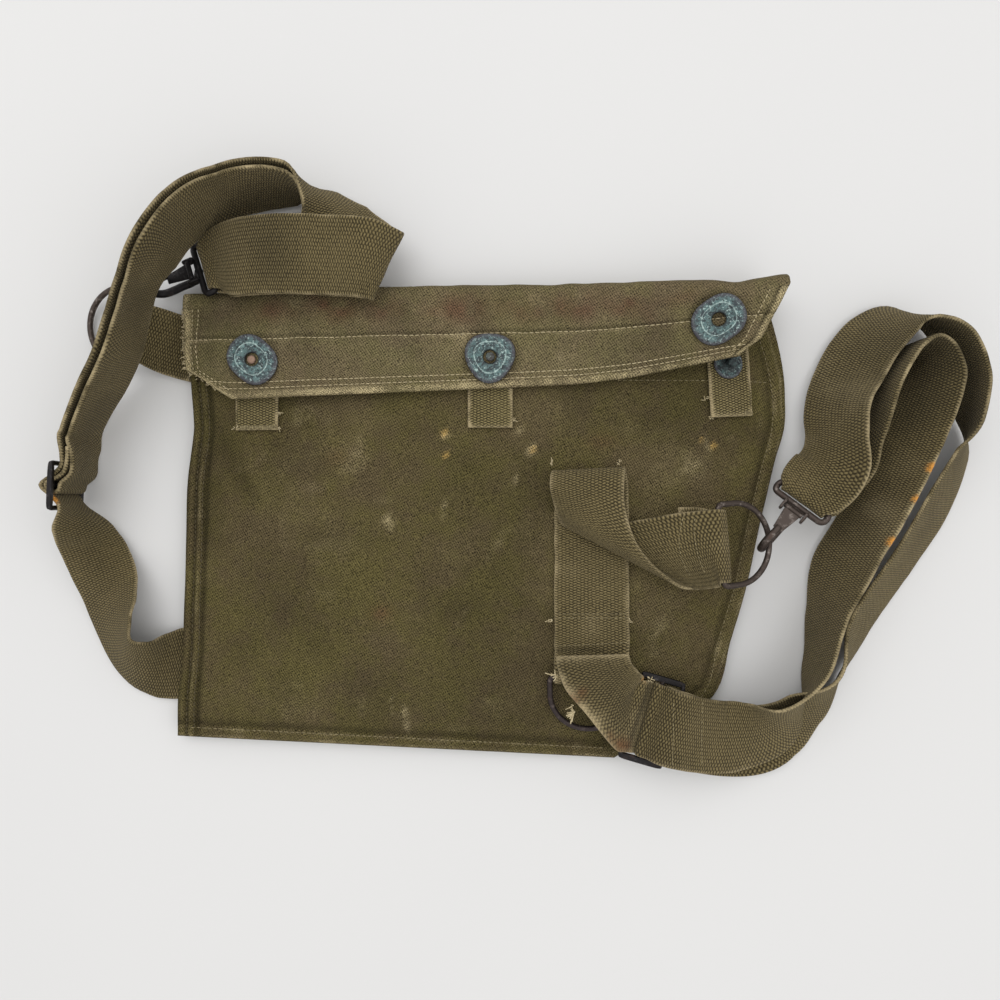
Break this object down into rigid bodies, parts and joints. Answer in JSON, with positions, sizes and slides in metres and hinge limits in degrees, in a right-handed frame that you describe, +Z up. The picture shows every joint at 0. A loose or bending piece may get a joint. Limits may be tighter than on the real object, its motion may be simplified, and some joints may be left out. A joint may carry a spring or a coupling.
{
  "type": "gas mask bag",
  "caption": "Flat canvas shoulder bag lying on its back, with a snap flap, a cut lower corner, webbing straps, wire rings, snap hooks and slides.",
  "frame": {"origin": "middle of the whole footprint, on the surface that the bag lies on", "axes": "+X along the bag towards its cut corner, +Y towards the mouth and flap, +Z up out of the front"},
  "size_m": [0.477, 0.3127, 0.0571],
  "materials": {
    "canvas": "worn olive drab twill",
    "webbing": "olive brown woven cotton webbing",
    "steel": "dark worn steel with rust",
    "brass": "blue green patina"
  },
  "bodies": {
    "bag": {"pouch": "canvas", "flap": "canvas", "stud_tab_left": "webbing", "stud_tab_middle": "webbing", "stud_tab_right": "webbing", "front_webbing": "webbing", "chape_left": "webbing", "strap_left": "webbing", "strap_right": "webbing", "ring_left": "steel", "ring_right": "steel", "ring_lower": "steel", "hook_left": "steel", "hook_right": "steel", "slide_left": "steel", "slide_right": "steel", "snap_stud_left": "brass", "snap_stud_middle": "brass", "snap_stud_right": "brass", "snap_socket_left": "brass", "snap_socket_middle": "brass", "snap_socket_right": "brass"},
    "tongue_left": {"tongue_left": "steel"},
    "tongue_right": {"tongue_right": "steel"}
  },
  "joints": [
    {"name": "tongue_left_hinge", "type": "hinge", "parent": "bag", "child": "tongue_left", "pos_m": [-0.17044, 0.10818, 0.01435], "axis": [0.3338, -0.9168, 0.2192], "range_deg": [0, 16], "stiffness_Nm_per_rad": 0.05},
    {"name": "tongue_right_hinge", "type": "hinge", "parent": "bag", "child": "tongue_right", "pos_m": [0.13705, -0.01536, 0.0247], "axis": [0.7003, -0.6163, 0.3602], "range_deg": [0, 16], "stiffness_Nm_per_rad": 0.05}
  ]
}
